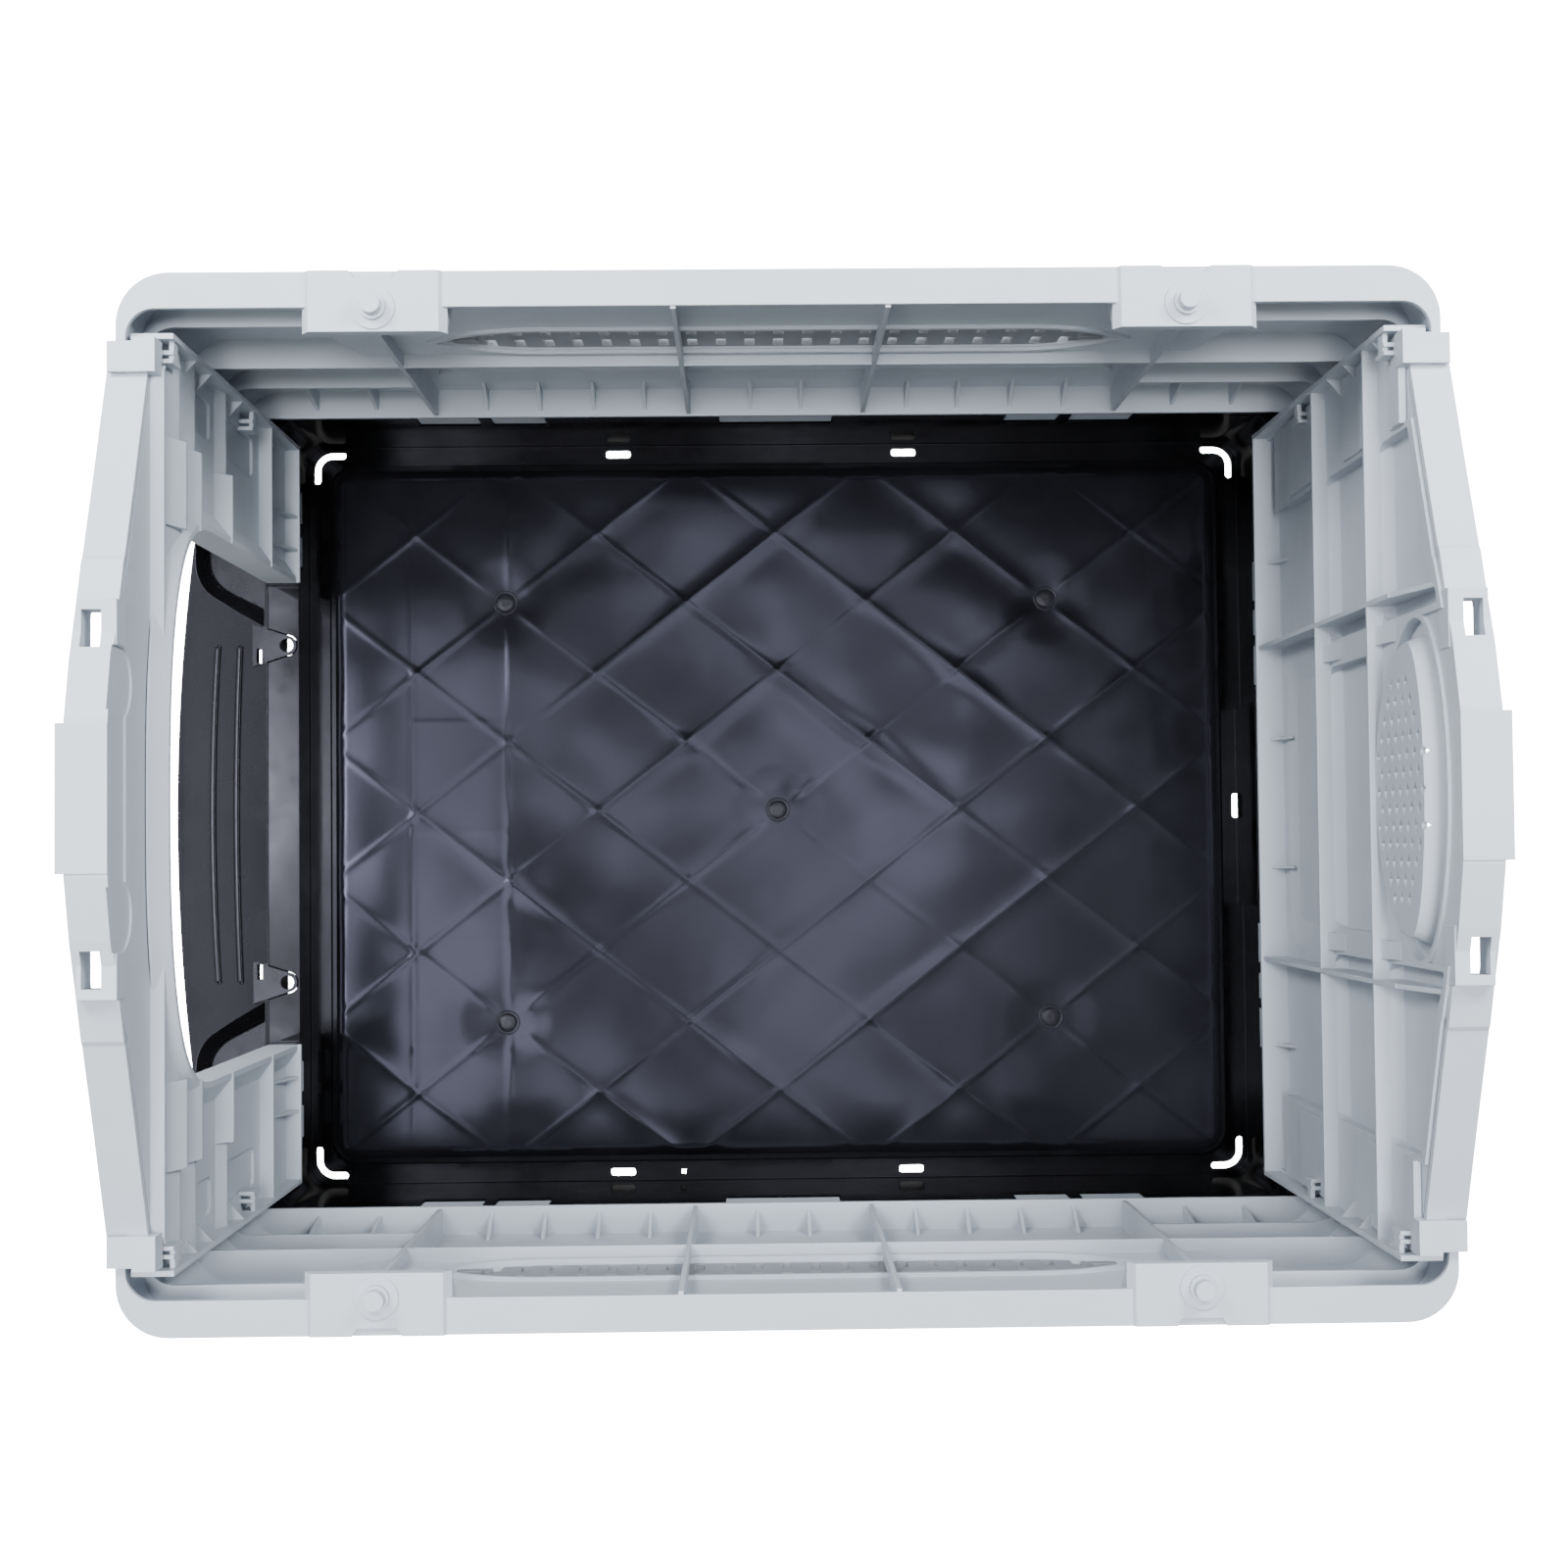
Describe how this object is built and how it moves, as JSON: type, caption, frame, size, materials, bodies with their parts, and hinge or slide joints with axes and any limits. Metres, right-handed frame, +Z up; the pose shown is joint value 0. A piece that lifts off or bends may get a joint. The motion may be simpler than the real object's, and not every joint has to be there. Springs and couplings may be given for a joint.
{
  "type": "folding crate body with gabled ends",
  "caption": "Folding plastic crate body with a doorway, vented walls and a moulded tray; both end walls fold flat, and four pegs take a separate roof.",
  "frame": {"origin": "middle of the tray's plan, on the ground", "axes": "+X to the vented rear wall, away from the doorway; +Y to the left side wall as seen from the doorway looking in; +Z up"},
  "size_m": [0.6761, 0.487, 0.4031],
  "materials": {
    "tray": "glossy black polypropylene",
    "sill": "semi-gloss black polypropylene",
    "front_wall": "satin light grey polypropylene",
    "rear_wall": "satin light grey polypropylene",
    "left_wall": "satin light grey polypropylene",
    "right_wall": "satin light grey polypropylene",
    "vent_strip": "satin mid grey polypropylene",
    "hinge_pin": "drawn wire"
  },
  "bodies": {
    "base": {"base_tray": "tray", "entry_sill": "sill", "front_hinge_pins": "hinge_pin", "rear_hinge_pins": "hinge_pin", "left_hinge_pins": "hinge_pin", "right_hinge_pins": "hinge_pin"},
    "front_wall": {"front_wall": "front_wall"},
    "rear_wall": {"rear_wall": "rear_wall"},
    "left_wall": {"left_wall": "left_wall", "left_vent_strip": "vent_strip"},
    "right_wall": {"right_wall": "right_wall", "right_vent_strip": "vent_strip"}
  },
  "joints": [
    {"name": "front_wall_fold", "type": "hinge", "parent": "base", "child": "front_wall", "pos_m": [-0.2916, 0, 0.042], "axis": [0, 1, 0], "range_deg": [0, 92.5]},
    {"name": "rear_wall_fold", "type": "hinge", "parent": "base", "child": "rear_wall", "pos_m": [0.2916, 0, 0.056], "axis": [0, -1, 0], "range_deg": [0, 89]},
    {"name": "left_wall_play", "type": "hinge", "parent": "base", "child": "left_wall", "pos_m": [0, 0.2315, 0.08], "axis": [1, 0, 0], "range_deg": [0, 0.3]},
    {"name": "right_wall_play", "type": "hinge", "parent": "base", "child": "right_wall", "pos_m": [0, -0.2315, 0.08], "axis": [-1, 0, 0], "range_deg": [0, 0.3]}
  ]
}
